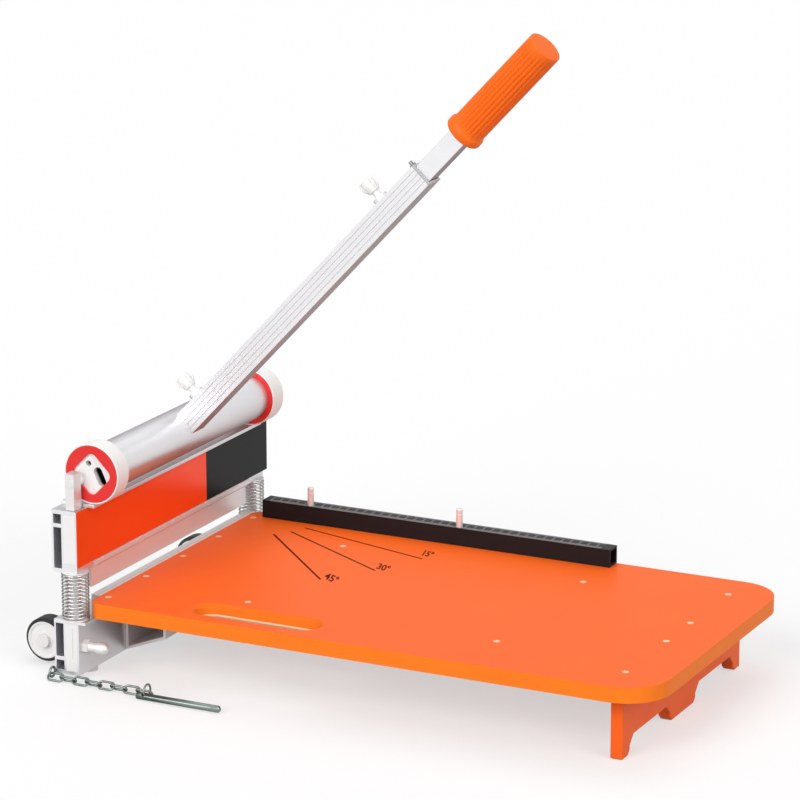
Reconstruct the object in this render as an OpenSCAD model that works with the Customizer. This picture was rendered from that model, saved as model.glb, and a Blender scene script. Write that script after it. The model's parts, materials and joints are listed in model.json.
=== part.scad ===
// Laminate cutter: a sprung blade carrier on two guide posts, pressed down
// by an eccentric cross tube with a telescopic lever, over a slotted table.
// The cut runs along Y, the board lies along X, and Z = 0 is the floor.

/* [Guide posts] */
// Room from the end of the blade to the axis of a post
blade_room = 22; // [20:0.5:30]
// Diameter of a guide post
post_d = 11; // [10:0.5:12]
// How far the posts rise above the pivot
post_over = 10; // [8:0.5:16]
// Depth along the blade of the flat head of a post, above the carrier
head_d = 14; // [12:0.5:16]
// Width of the flat head of a post
head_w = 10; // [9:0.5:12]
// Length of the plug that holds or rides a post
block_w = 21; // [18:0.5:24]
// Radial running clearance of sliding and turning fits
run_gap = 0.05; // [0.03:0.01:0.1]

/* [Base beam] */
// Width of the hollow beam, across the cut
beam_w = 28.5; // [27:0.5:34]
// Height of the hollow beam
beam_h = 62; // [56:1:66]
// Upright walls of the hollow beam
beam_wall = 2; // [1.5:0.25:2.5]
// Flat walls of the hollow beam
rib_t = 4; // [3:0.25:5]
// Width of the beam's front cell, which takes the plugs
plug_w = 13.5; // [13.25:0.25:15]
// Height of the shorter row of hollow cells
cell_low_h = 10; // [8:0.5:14]

/* [Blade] */
// Length of the blade
blade_len = 326; // [290:1:330]
// Thickness of the blade
blade_t = 4; // [3:0.25:5]
// Height of the open gap between blade and table
jaw_gap = 7; // [6:0.5:8]
// How far the blade reaches below the carrier beam
blade_drop = 23; // [22:0.5:25]
// Height of the blade clamp bar
clamp_h = 7.5; // [7:0.25:9]
// Thickness of the blade clamp bar
clamp_t = 4.75; // [4:0.25:6]
// Number of blade screws
blade_screws_n = 5; // [3:1:8]

/* [Table] */
// Length of the table, along the board
table_len = 612; // [560:1:700]
// Width of the table
table_w = 355; // [340:1:380]
// Thickness of the table
table_t = 16; // [12:0.5:18]
// How far the table's middle lies from the middle between the posts
table_y = -11; // [-20:0.5:10]
// Height of the table surface above the floor
table_top = 82; // [80:0.5:86]
// Radius of the two free corners
corner_r = 46; // [20:1:80]
// Length of the carrying slot
slot_len = 138; // [110:1:160]
// Width of the carrying slot
slot_w = 34; // [26:1:38]
// Chamfer round the edges of the carrying slot
slot_ease = 3; // [1:0.25:4]
// Diameter of a flush table screw
screw_d = 7; // [5:0.5:9]

/* [Leg] */
// Thickness of the end leg
leg_t = 13; // [10:0.5:18]
// Length of the end leg
leg_len = 304; // [280:1:330]
// Width of one arch in the leg
arch_w = 100; // [80:1:110]
// Height of one arch in the leg
arch_h = 18; // [12:1:30]
// Distance from the leg to the free end of the table
leg_inset = 40; // [30:1:60]

/* [Fence] */
// Length of the fence
fence_len = 406; // [360:1:440]
// Side of the square fence tube
fence_w = 19; // [16:0.5:20]
// Wall of the fence tube
fence_wall = 2; // [1.5:0.25:3]
// Diameter of a fence pin
fence_pin_d = 7; // [5:0.5:8]
// Height of a fence pin above the fence
fence_pin_h = 20; // [14:1:30]

/* [Cam and lever] */
// Throw of the cam: distance from the pivot to the cam's centre
cam_throw = 17; // [15.5:0.25:18]
// Angle that the lever swings through
lever_swing = 54; // [44:1:56]
// Slope of the lever when the blade is up
lever_rise = 46.7; // [44:0.1:54]
// Height of the pivot above the floor
pivot_h = 204.3; // [202:0.1:209]
// Diameter of the pivot bolt
pivot_d = 6; // [5:0.25:7]
// Diameter of the cam collar
cam_d = 62; // [60:0.5:66]
// Width of the cam collar
cam_w = 22; // [18:0.5:26]
// Wall of the cam collar
cam_wall = 1.5; // [1:0.25:3]
// Diameter of the cross tube
cross_d = 48; // [46:0.5:49]
// Wall of the cross tube
cross_wall = 3; // [2:0.25:4]
// Length of the lever tube
lever_len = 395; // [360:1:440]
// Side of the square lever tube
lever_w = 25; // [24:0.5:28]
// Side of the square extension tube
ext_w = 20; // [18:0.5:20.5]
// Wall of the extension tube
ext_wall = 2; // [1.5:0.25:3]
// Length of the bare extension tube between lever tube and grip
ext_show = 59; // [56:1:90]
// How deep the extension tube sits in the lever tube
ext_hold = 160; // [120:1:180]
// Length of the grip
grip_len = 128; // [110:1:150]
// Diameter of the grip
grip_d = 36; // [34:0.5:40]
// Distance of the lower clamp knob from the cross tube's axis
knob_low = 50; // [46:1:70]
// Distance of the upper clamp knob from the upper end of the lever tube
knob_back = 55; // [40:1:80]
// Diameter of a clamp knob
knob_d = 19; // [17:0.5:24]

/* [Springs] */
// Mean radius of a return spring
coil_r = 13.2; // [12.8:0.1:14]
// Wire diameter of a return spring
wire_d = 1.8; // [1.4:0.1:2]
// Turns of a return spring
coil_turns = 13; // [8:1:14]

/* [Wheels and chain] */
// Diameter of a carrying wheel
wheel_d = 46; // [42:1:50]
// Width of a carrying wheel
wheel_w = 20; // [16:0.5:24]
// Diameter of a wheel axle
axle_d = 8; // [6:0.5:9]
// Number of pairs of chain links
link_pairs = 4; // [3:1:5]
// Wire diameter of a chain link
link_wire = 2.4; // [2:0.1:2.8]
// Length of the lock pin
lock_len = 86; // [60:1:110]

/* [Hidden] */
$fn = 48;
eps = 0.01;
seat = 0.3;

post_y = blade_len / 2 + blade_room;
post_h = pivot_h + post_over;
beam_end = post_y + block_w / 2;
beam_front = plug_w / 2 + beam_wall;
beam_back = beam_front - beam_w;
base_low = 5;
flange_t = 3;
flange_tip = beam_front + 8;
flange_low = beam_h - flange_t;

// Anvil, bracket and table stand in a row in front of the beam
shear_gap = 0.1;
blade_back = 1;
blade_front = blade_back + blade_t;
anvil_back = blade_front + shear_gap;
table_x = 16;
anvil_front = table_x;
table_end = table_x + table_len;
table_under = table_top - table_t;
bracket_front = 56;
bracket_wall = 3;
bracket_len = 206;
bracket_low = 5;
bracket_nose = 23;
leg_x = table_end - leg_inset - leg_t;
rail_y = 104.5;
rail_w = 20;
rail_h = 15;
rail_t = 3;
screw_x = 25.5;
screw_pitch = 76.5;
leg_screw_y = [-132, -31, 31, 132];
rail_screw_x = [159, 434];
slot_x = 189;
slot_y = -141;
screw_len = 12;

// Carrier and cam stand above one another: the cam presses on the rail
swing_half = lever_swing / 2;
cam_x = cam_throw * cos(swing_half);
cam_z = pivot_h + cam_throw * sin(swing_half);
travel = 2 * cam_throw * sin(swing_half);
rail_top = cam_z - cam_d / 2 - seat;
cam_rail_t = 4;
carrier_top = rail_top - cam_rail_t;
blade_low = table_top + jaw_gap;
carrier_low = blade_low + blade_drop;
carrier_h = carrier_top - carrier_low;
rabbet_h = clamp_h - 1.5;
clamp_low = carrier_low + rabbet_h - clamp_h;
blade_top = carrier_low + rabbet_h;
clamp_front = blade_front + clamp_t;
blade_screw_z = carrier_low + rabbet_h / 2;
blade_screw_d = 4;
panel_t = 1;
panel_split = 69;
panel_over = 8;

// Springs sit between two washers
seat_t = 1;
seat_d = 2 * coil_r + wire_d;
coil_low = beam_h + seat_t;
coil_high = carrier_low - seat_t;

// Cam ends, from the outside in
cam_out = post_y - head_d / 2 - 3;
cam_in = cam_out - cam_w;
plate_t = 6;
lip_t = 3;
plate_out = cam_out - lip_t;
hub_bore = cross_d / 2 + run_gap;
hub_r = cam_d / 2 - cam_wall;

// Lever, in its own frame along the lever's axis
lever_sag = 2.8;
lever_start = 12;
lever_end = lever_start + 8 + lever_len;
lever_bore = ext_w + 2 * seat;
stub_past = 40;
stub_end = knob_low + stub_past;
cap_t = 2.5;
grip_start = lever_end + ext_show;
ext_start = lever_end - ext_hold;
grip_end_t = 12;
ext_end = grip_start + grip_len - grip_end_t;
knob_high = lever_end - knob_back;
knob_screw_d = 8;
boss_h = 5;
knob_lift = 7;

// Wheels hang behind the beam
wheel_x = beam_back - wheel_d / 2 - 7.75;
wheel_z = wheel_d / 2 + 2;
wheel_out = 165;
wheel_mid = wheel_out - wheel_w / 2;
ear_gap = 3;
ear_t = 3;
ear_out = wheel_out - wheel_w - ear_gap;
ear_foot = 30;
tyre_t = 3.5;
ear_d = 3 * axle_d;
ear_foot_h = 36;
nut_d = 15;
nut_h = 6;
axle_head_d = axle_d + 6;
axle_head_h = 4;
axle_sleeve_d = axle_d + 4;

// Fence lies along the far edge of the table and turns on its first pin
fence_x = 34;
fence_y = table_w / 2 - fence_w / 2;
fence_pin_y = fence_y - fence_w / 2 + 5.5;
fence_pin_x = [90, 266];
fence_lift = seat;

// Chain lies on the floor beside the near end of the base
link_in = 15;
link_r = 4;
link_tilt = 45;
link_pitch = link_in - seat;
link_last = 2 * link_pairs - 1;
eye_x = beam_back + beam_wall / 2;
eye_wire = 2.5;
chain_x = eye_x + link_in / 2 - eye_wire / 2 - seat;
chain_y = -(beam_end + 10.5);
chain_z = link_r * sin(link_tilt) + link_wire / 2 + seat / 5;
eye_r = 5;
lock_d = 7;
lock_ring_wire = 2;
lock_side = 11;
lock_ring_z = 8;
lock_x = chain_x + link_last * link_pitch + link_in / 2 - lock_ring_wire / 2 - seat;
lock_ring_r = norm([lock_side / 2, lock_ring_z - chain_z]);

// Places a shape in the lever's own frame, X along the lever
module on_lever() {
    translate([cam_x, 0, cam_z - lever_sag]) rotate([0, -lever_rise, 0]) children();
}

// A round bar along Y between two places
module bar_y(d, y0, y1) {
    translate([0, y0, 0]) rotate([-90, 0, 0]) cylinder(d = d, h = y1 - y0);
}

// A round bar along X between two places
module bar_x(d, x0, x1) {
    translate([x0, 0, 0]) rotate([0, 90, 0]) cylinder(d = d, h = x1 - x0);
}

// An outline in X and Z, drawn out along Y about the middle
module along_y(len) {
    translate([0, len / 2, 0]) rotate([90, 0, 0]) linear_extrude(len) children();
}

// The table's own frame, whose middle is not the middle of the cut
module on_table() {
    translate([0, table_y, 0]) children();
}

// Both ends: the shape at +Y and its mirror image at -Y
module both_ends() {
    children();
    mirror([0, 1, 0]) children();
}

// Hollow beam section: two cells at the back, one at the front for the plugs
module beam_section(height) {
    split = rib_t + cell_low_h;
    cell_w = beam_w - plug_w - 3 * beam_wall;
    difference() {
        translate([beam_back, 0]) square([beam_w, height]);
        translate([beam_back + beam_wall, 0]) {
            translate([0, rib_t]) square([cell_w, cell_low_h]);
            translate([0, split + rib_t]) square([cell_w, height - split - 2 * rib_t]);
        }
        translate([-plug_w / 2, rib_t]) square([plug_w, height - 2 * rib_t]);
    }
}

// Bore for a post at each end, between two heights
module post_bores(low, high) {
    both_ends() translate([0, post_y, low]) cylinder(d = post_d + 2 * run_gap, h = high - low);
}

// Plug with a post bore that fills the front cell at each end
module post_plugs(low, high) {
    difference() {
        both_ends() translate([-plug_w / 2, post_y - block_w / 2, low]) cube([plug_w, block_w, high - low]);
        post_bores(low - 1, high + 1);
    }
}

module clamp_bolt_bores() {
    both_ends() translate([0, post_y, clamp_bolt_z])
        bar_x(clamp_bolt_d + 2 * run_gap, post_d / 2 - 1, beam_front + 1);
}

module base_beam() {
    color("gainsboro") difference() {
        along_y(2 * beam_end) {
            translate([0, base_low]) beam_section(beam_h - base_low);
            translate([beam_front, flange_low]) square([flange_tip - beam_front, flange_t]);
        }
        post_bores(base_low + rib_t, beam_h + 1);
        clamp_bolt_bores();
    }
}

// Three round feet under the base: one in the middle and one near each end
module base_feet() {
    foot_d = 16;
    foot_back = 25;
    color("white") for (side = [-1, 0, 1])
        translate([0, side * (post_y - foot_back), 0]) cylinder(d = foot_d, h = base_low);
}

module base_end_blocks() {
    groove_w = 2.5;
    groove_t = 1;
    color("white") difference() {
        post_plugs(base_low + rib_t, beam_h - rib_t);
        clamp_bolt_bores();
        both_ends() translate([1, beam_end - groove_t, 5 * rib_t])
            cube([groove_w, 2 * groove_t, beam_h - 7 * rib_t]);
    }
}

// Round post whose flat head starts above the carrier and takes the pivot
module guide_posts() {
    shoulder = carrier_top + seat;
    foot = base_low + rib_t;
    color("whitesmoke") both_ends() translate([0, post_y, 0]) difference() {
        union() {
            translate([0, 0, foot]) cylinder(d = post_d, h = shoulder - foot + eps);
            translate([-head_w / 2, -head_d / 2, shoulder]) cube([head_w, head_d, post_h - shoulder]);
        }
        translate([0, 0, pivot_h]) bar_y(pivot_d + 2 * run_gap, -head_d, head_d);
    }
}

clamp_bolt_z = 34;
clamp_bolt_d = 8;

clamp_nut_h = 7;
clamp_neck = 9;
clamp_neck_d = clamp_bolt_d + 3;
clamp_cap = 6;
clamp_cap_d = clamp_bolt_d + 5;

// Clamp bolt with a nut, a neck and a domed cap
module post_clamp_bolts() {
    neck = beam_front + clamp_nut_h;
    cap = neck + clamp_neck;
    tip = cap + clamp_cap;
    color("silver") both_ends() translate([0, post_y, clamp_bolt_z]) {
        bar_x(clamp_bolt_d, post_d / 2 + seat, neck);
        translate([beam_front, 0, 0]) rotate([0, 90, 0]) cylinder(d = nut_d, h = clamp_nut_h, $fn = 6);
        bar_x(clamp_neck_d, neck, cap);
        bar_x(clamp_cap_d, cap, tip);
        translate([tip, 0, 0]) rotate([0, 90, 0]) rotate_extrude() intersection() {
            circle(d = clamp_cap_d);
            square(clamp_cap_d / 2 + eps);
        }
    }
}

module anvil_bar() {
    lip = 3;
    color("lightgray") difference() {
        along_y(blade_len) polygon([
            [anvil_back, beam_h], [anvil_front, beam_h], [anvil_front, table_top - 1],
            [anvil_front - 1, table_top], [anvil_front - lip, table_top], [anvil_front - lip, table_top - 1],
            [anvil_front - lip - 1, table_top - 1], [anvil_front - lip - 1, table_top], [anvil_back, table_top]]);
        for (place = anvil_screw_y)
            translate([anvil_mid, place, beam_h - eps]) anvil_screw_hole();
    }
}

anvil_mid = (anvil_back + anvil_front) / 2;
anvil_screw_y = [-140, -70, 0, 70, 140];
anvil_screw_d = 4;
anvil_head_d = 7;
anvil_head_h = 4;
anvil_sink = 0.2;

module anvil_screw_hole() {
    depth = table_top - beam_h;
    cylinder(d = anvil_screw_d + 2 * run_gap, h = depth + 1);
    translate([0, 0, depth - anvil_sink - anvil_head_h]) cylinder(d = anvil_head_d + 2 * seat, h = depth);
}

module anvil_screws() {
    color("silver") for (place = anvil_screw_y)
        translate([anvil_mid, place, 0]) {
            translate([0, 0, beam_h]) cylinder(d = anvil_screw_d, h = table_top - beam_h - anvil_sink - 1);
            translate([0, 0, table_top - anvil_sink - anvil_head_h]) cylinder(d = anvil_head_d, h = anvil_head_h);
        }
}

// Outline of the bracket that carries the table, shrunk by a wall
module bracket_outline(wall) {
    polygon([
        [beam_front + wall, bracket_low + wall * 1.4], [beam_front + wall, flange_low - wall],
        [flange_tip + wall, flange_low - wall], [flange_tip + wall, table_under - wall],
        [bracket_front - wall, table_under - wall], [bracket_front - wall, bracket_nose + wall * 0.8]]);
}

module table_bracket() {
    color("silver") along_y(bracket_len) difference() {
        bracket_outline(0);
        bracket_outline(bracket_wall);
    }
}

// Table outline: square at the cut, round at the free corners
module table_outline() {
    chamfer = 9;
    half = table_w / 2;
    difference() {
        union() {
            translate([table_x, -half]) square([table_len - corner_r, table_w]);
            translate([table_end - corner_r - eps, -half + corner_r])
                square([corner_r + eps, table_w - 2 * corner_r]);
            for (side = [-1, 1])
                translate([table_end - corner_r, side * (half - corner_r)]) circle(r = corner_r);
        }
        for (side = [-1, 1])
            translate([table_x, side * half]) rotate(45) square(chamfer * sqrt(2), center = true);
    }
}

module slot_outline() {
    reach = slot_len / 2 - slot_w / 2;
    translate([slot_x, slot_y]) {
        square([2 * reach, slot_w], center = true);
        for (side = [-1, 1])
            translate([side * reach, 0]) circle(d = slot_w);
    }
}

// Chamfer of the slot's edge: it opens upwards from a height
module slot_chamfer() {
    reach = slot_len / 2 - slot_w / 2;
    half = slot_w / 2;
    translate([slot_x, slot_y, 0]) {
        for (side = [-1, 1])
            translate([side * reach, 0, 0]) cylinder(d1 = slot_w, d2 = slot_w + 2 * slot_ease, h = slot_ease);
        translate([-reach, 0, 0]) rotate([90, 0, 90]) linear_extrude(2 * reach)
            polygon([[-half, 0], [half, 0], [half + slot_ease, slot_ease], [-half - slot_ease, slot_ease]]);
    }
}

module screw_places() {
    for (i = [-2 : 2])
        translate([screw_x, i * screw_pitch, 0]) children();
    for (x = rail_screw_x, side = [-1, 1])
        translate([x, side * rail_y, 0]) children();
    for (y = leg_screw_y)
        translate([leg_x + leg_t / 2, y, 0]) children();
}

module table() {
    color("orangered") on_table() difference() {
        translate([0, 0, table_under]) linear_extrude(table_t) difference() {
            table_outline();
            slot_outline();
        }
        translate([0, 0, table_top - slot_ease]) slot_chamfer();
        translate([0, 0, table_under + slot_ease]) mirror([0, 0, 1]) slot_chamfer();
        screw_places() translate([0, 0, table_top - screw_len]) cylinder(d = screw_d, h = screw_len + 1);
        translate([fence_pin_x[0], fence_pin_y, table_top - fence_root])
            cylinder(d = fence_pin_d + 2 * run_gap, h = fence_root + 1);
    }
}

fence_root = 10;

module table_screws() {
    color("white") on_table() screw_places() translate([0, 0, table_top - screw_len]) cylinder(d = screw_d, h = screw_len);
}

module end_leg() {
    slope = 9;
    toe = 5;
    half = leg_len / 2;
    side_w = arch_w / 2;
    color("orangered") on_table() translate([leg_x, 0, 0]) rotate([90, 0, 90]) linear_extrude(leg_t) difference() {
        translate([-half, 0]) square([leg_len, table_under]);
        for (side = [-1, 1])
            translate([side * leg_arch_mid, 0]) polygon([
                [-side_w - toe, 0], [-side_w, toe], [-side_w, arch_h - slope], [-side_w + slope, arch_h],
                [side_w - slope, arch_h], [side_w, arch_h - slope], [side_w, toe], [side_w + toe, 0],
                [side_w + toe, -1], [-side_w - toe, -1]]);
    }
}

leg_foot = 19;
leg_arch_mid = leg_len / 2 - leg_foot - arch_w / 2;

module table_rails() {
    color("silver") on_table() for (side = [-1, 1])
        translate([bracket_front, side * rail_y, table_under]) rotate([90, 0, 90])
            linear_extrude(leg_x - bracket_front) {
                translate([-rail_w / 2, -rail_t]) square([rail_w, rail_t]);
                translate([-rail_t / 2, -rail_h]) square([rail_t, rail_h]);
            }
}

module wheel_brackets() {
    color("lightgray") both_ends() difference() {
        union() {
            translate([beam_back - ear_t, ear_out - ear_foot, wheel_z - ear_foot_h / 2])
                cube([ear_t, ear_foot, ear_foot_h]);
            translate([0, ear_out - ear_t, 0]) rotate([-90, 0, 0]) linear_extrude(ear_t) {
                translate([wheel_x, -wheel_z]) circle(d = ear_d);
                translate([wheel_x, -wheel_z - ear_d / 2]) square([beam_back - wheel_x, ear_d]);
            }
        }
        translate([wheel_x, 0, wheel_z]) bar_y(axle_d + 2 * run_gap, 0, post_y);
    }
}

module wheel_axles() {
    color("silver") both_ends() translate([wheel_x, 0, wheel_z]) {
        bar_y(axle_d, ear_out - ear_t - nut_h - 2, wheel_out + 1);
        translate([0, ear_out - ear_t - nut_h, 0]) rotate([-90, 0, 0]) cylinder(d = nut_d, h = nut_h, $fn = 6);
        bar_y(axle_head_d, wheel_out + seat, wheel_out + axle_head_h);
        bar_y(axle_sleeve_d, ear_out, wheel_out - wheel_w - seat);
    }
}

// One wheel about the Y axis, its tread slightly crowned
module tyre() {
    rotate([90, 0, 0]) rotate_extrude() difference() {
        translate([wheel_d / 2 - tyre_t, -wheel_w / 2]) square([tyre_t, wheel_w]);
        for (side = [-1, 1])
            translate([wheel_d / 2, side * wheel_w / 2]) rotate(45) square(tyre_t, center = true);
    }
}

// Plain disc hub, dished a little on both sides
module hub() {
    rim = wheel_d / 2 - tyre_t;
    bore = axle_d / 2 + run_gap;
    dish = 1.5;
    half = wheel_w / 2;
    rotate([90, 0, 0]) rotate_extrude() polygon([
        [bore, -half], [axle_head_d / 2 + 1, -half], [axle_head_d / 2 + 2, -half + dish],
        [rim - 3, -half + dish], [rim - 2, -half], [rim, -half],
        [rim, half], [rim - 2, half], [rim - 3, half - dish],
        [axle_head_d / 2 + 2, half - dish], [axle_head_d / 2 + 1, half], [bore, half]]);
}

module near_wheel_tyre() {
    color("black") translate([wheel_x, -wheel_mid, wheel_z]) tyre();
}

module near_wheel_hub() {
    color("white") translate([wheel_x, -wheel_mid, wheel_z]) hub();
}

module far_wheel_tyre() {
    color("black") translate([wheel_x, wheel_mid, wheel_z]) tyre();
}

module far_wheel_hub() {
    color("white") translate([wheel_x, wheel_mid, wheel_z]) hub();
}

spacer_d = pivot_d + 5;

// Pivot bolt with a low round head on the outside of the post
module pivot_bolts() {
    outer = post_y + head_d / 2;
    head_t = 0.5;
    color("silver") both_ends() translate([0, 0, pivot_h]) {
        bar_y(pivot_d, plate_out - plate_t - 2, outer);
        bar_y(pivot_d + 3, outer, outer + head_t);
    }
}

module pivot_spacers() {
    color("white") both_ends() translate([0, 0, pivot_h]) difference() {
        bar_y(spacer_d, plate_out + seat, post_y - head_d / 2);
        bar_y(pivot_d + 2 * run_gap, 0, 2 * post_y);
    }
}

module spring_seat(low) {
    both_ends() translate([0, post_y, low]) difference() {
        cylinder(d = seat_d, h = seat_t);
        translate([0, 0, -eps]) cylinder(d = post_d + 2 * run_gap, h = seat_t + 2 * eps);
    }
}

module spring_seats_lower() {
    color("silver") spring_seat(beam_h);
}

module spring_seats_upper() {
    color("silver") spring_seat(carrier_low - seat_t);
}

// Return spring: one tube swept along a helix whose two ends stand upright
coil_rings = 12;
coil_sides = 6;
coil_tail = wire_d;
coil_rise = coil_high - coil_low - 2 * coil_tail;
coil_steps = coil_turns * coil_rings;
coil_path = concat(
    [[coil_r, 0, coil_low]],
    [for (i = [0 : coil_steps])
        let (turn = 360 * i / coil_rings)
        [coil_r * cos(turn), coil_r * sin(turn), coil_low + coil_tail + coil_rise * i / coil_steps]],
    [[coil_r, 0, coil_high]]);
coil_least = min([for (i = [0 : len(coil_path) - 1])
    for (j = [i + coil_rings / 2 : 1 : len(coil_path) - 1])
        norm(coil_path[i] - coil_path[j])]) - wire_d;
echo(least_gap_between_spring_turns = coil_least);

function unit(v) = v / norm(v);
function path_way(path, i) =
    i == 0 ? [0, 0, 1] :
    i == len(path) - 1 ? [0, 0, 1] :
    unit(unit(path[i + 1] - path[i]) + unit(path[i] - path[i - 1]));

// Sweeps a tube: each ring is square to the path, its first point facing out
module swept_tube(path, d, sides) {
    last = len(path) - 1;
    points = [for (i = [0 : last])
        let (way = path_way(path, i),
             out = unit([path[i].x, path[i].y, 0]),
             first = unit(out - way * (out * way)),
             second = cross(way, first))
        for (k = [0 : sides - 1])
            path[i] + d / 2 * (first * cos(360 * k / sides) + second * sin(360 * k / sides))];
    walls = [for (i = [0 : last - 1])
        for (k = [0 : sides - 1])
            let (a = i * sides + k, b = i * sides + (k + 1) % sides)
            each [[a, a + sides, b], [b, a + sides, b + sides]]];
    low_cap = [for (k = [1 : sides - 2]) [0, k, k + 1]];
    high_cap = [for (k = [1 : sides - 2]) [last * sides, last * sides + k + 1, last * sides + k]];
    polyhedron(points, concat(walls, low_cap, high_cap));
}

module near_spring() {
    color("silver") translate([0, -post_y, 0]) swept_tube(coil_path, wire_d, coil_sides);
}

module far_spring() {
    color("silver") translate([0, post_y, 0]) swept_tube(coil_path, wire_d, coil_sides);
}

// One chain link lying along X: two half rings joined by straight wires
module link() {
    reach = link_in / 2 + link_wire / 2 - link_r;
    for (side = [0, 180])
        rotate(side) {
            translate([reach, 0, 0]) rotate(-90) rotate_extrude(angle = 180)
                translate([link_r, 0]) circle(d = link_wire);
            translate([0, link_r, 0]) bar_x(link_wire, -reach, reach);
        }
}

module chain() {
    color("silver") for (i = [0 : link_last])
        translate([chain_x + i * link_pitch, chain_y, chain_z])
            rotate([i % 2 == 0 ? link_tilt : -link_tilt, 0, 0]) link();
}

// Wire ring about the X axis
module wire_ring(r, d) {
    rotate([0, 90, 0]) rotate_extrude() translate([r, 0]) circle(d = d);
}

module chain_eye() {
    ring_y = chain_y + eye_r * cos(link_tilt);
    ring_z = chain_z + eye_r * sin(link_tilt);
    color("silver") translate([eye_x, 0, ring_z]) {
        translate([0, ring_y, 0]) wire_ring(eye_r, eye_wire);
        bar_y(eye_wire, ring_y + eye_r, -beam_end);
    }
}

module lock_pin() {
    tip = 2;
    lean = atan2(lock_ring_z - chain_z, lock_side / 2);
    color("silver") {
        translate([lock_x, chain_y - lock_side, chain_z]) difference() {
            union() {
                bar_x(lock_d, -8, lock_len - tip);
                translate([lock_len - tip, 0, 0]) rotate([0, 90, 0])
                    cylinder(d1 = lock_d, d2 = lock_d - 2 * tip, h = tip);
            }
            rotate([lean, 0, 0]) cylinder(d = 2 * lock_ring_wire, h = 2 * lock_d, center = true);
        }
        translate([lock_x, chain_y - lock_side / 2, lock_ring_z]) wire_ring(lock_ring_r, lock_ring_wire);
    }
}

module fence() {
    middle = [fence_x, fence_y, table_top + fence_lift + fence_w / 2];
    color("black") on_table() difference() {
        translate(middle) rotate([90, 0, 90]) linear_extrude(fence_len) difference() {
            square(fence_w, center = true);
            square(fence_w - 2 * fence_wall, center = true);
        }
        for (x = fence_pin_x)
            translate([x, fence_pin_y, table_top]) cylinder(d = fence_pin_d + 2 * run_gap, h = 2 * fence_w);
    }
}

// The first pin is the fence's pivot and reaches into the table
module fence_pins() {
    top = table_top + fence_lift + fence_w + fence_pin_h;
    groove = 1;
    color("silver") on_table() for (i = [0, 1]) {
        low = i == 0 ? table_top - fence_root + seat : table_top + fence_lift;
        translate([fence_pin_x[i], fence_pin_y, 0]) difference() {
            union() {
                translate([0, 0, low]) cylinder(d = fence_pin_d, h = top - low - 1);
                translate([0, 0, top - 1]) cylinder(d1 = fence_pin_d, d2 = fence_pin_d - 2, h = 1, $fn = 64);
            }
            translate([0, 0, top - 6]) difference() {
                cylinder(d = 2 * fence_pin_d, h = groove);
                translate([0, 0, -1]) cylinder(d = fence_pin_d - 1, h = groove + 2);
            }
        }
    }
}

// Beam section turned over, with a solid foot below the front cell
module carrier_section() {
    translate([0, carrier_h]) mirror([0, 1]) beam_section(carrier_h);
    translate([-plug_w / 2, 0]) square([beam_front + plug_w / 2, foot_h]);
}

foot_h = rabbet_h + rib_t;

module blade_screw_places() {
    margin = 20;
    pitch = (blade_len - 2 * margin) / (blade_screws_n - 1);
    for (i = [0 : blade_screws_n - 1])
        translate([0, -blade_len / 2 + margin + i * pitch, blade_screw_z]) children();
}

// Carrier beam, rebated under its front for the blade and the clamp bar
module carrier_beam() {
    color("gainsboro") difference() {
        translate([0, 0, carrier_low]) along_y(2 * beam_end) carrier_section();
        translate([blade_back, -blade_len / 2 - seat, carrier_low - 1])
            cube([beam_w, blade_len + 2 * seat, rabbet_h + 1]);
        post_bores(carrier_low - 1, carrier_top + 1);
        blade_screw_places() bar_x(blade_screw_d + 2 * run_gap, -5, blade_front);
    }
}

module carrier_end_blocks() {
    color("white") post_plugs(carrier_low + foot_h, carrier_top - rib_t);
}

module cam_rail() {
    lip = 3;
    color("gainsboro") translate([beam_back, -cam_out - 1, carrier_top])
        cube([cam_x + lip - beam_back, 2 * cam_out + 2, cam_rail_t]);
}

// Flat panel on the carrier's front between two places along the cut
module panel(y0, y1) {
    low = blade_top + 0.5;
    translate([beam_front, y0, low]) cube([panel_t, y1 - y0, carrier_top - low]);
}

module front_panel() {
    color("orangered") panel(-beam_end, panel_split);
}

module front_panel_end() {
    color("black") panel(panel_split, beam_end + panel_over);
}

module blade() {
    edge = 2.5;
    color("silver") difference() {
        along_y(blade_len) polygon([
            [blade_back, blade_top], [blade_front, blade_top], [blade_front, blade_low],
            [blade_back, blade_low + edge]]);
        blade_screw_places() bar_x(blade_screw_d + 2 * run_gap, 0, blade_front + 1);
    }
}

module blade_clamp() {
    groove = 1;
    color("lightgray") difference() {
        along_y(blade_len) polygon([
            [blade_front, clamp_low], [clamp_front - 2, clamp_low], [clamp_front, clamp_low + 2],
            [clamp_front, blade_top - 2], [clamp_front - groove, blade_top - 1.5],
            [clamp_front - groove, blade_top - 1], [clamp_front, blade_top - 0.5],
            [clamp_front, blade_top], [blade_front, blade_top]]);
        blade_screw_places() {
            bar_x(blade_screw_d + 2 * run_gap, 0, clamp_front + 1);
            bar_x(blade_head_d + 2 * run_gap, clamp_front - blade_head_h, clamp_front + 1);
        }
    }
}

blade_head_d = 6;
blade_head_h = 3;

// Blade screws, their flat heads flush with the clamp bar
module blade_screws() {
    color("silver") blade_screw_places() {
        bar_x(blade_screw_d, -4, clamp_front - blade_head_h);
        bar_x(blade_head_d, clamp_front - blade_head_h, clamp_front);
    }
}

module cross_tube() {
    half = plate_out - plate_t;
    color("gainsboro") translate([cam_x, 0, cam_z]) difference() {
        bar_y(cross_d, -half, half);
        bar_y(cross_d - 2 * cross_wall, -half - 1, half + 1);
    }
}

module cam_collars() {
    color("white") both_ends() translate([cam_x, 0, cam_z]) difference() {
        bar_y(cam_d, cam_in, cam_out);
        bar_y(2 * hub_r, cam_in - 1, cam_out + 1);
    }
}

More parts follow.
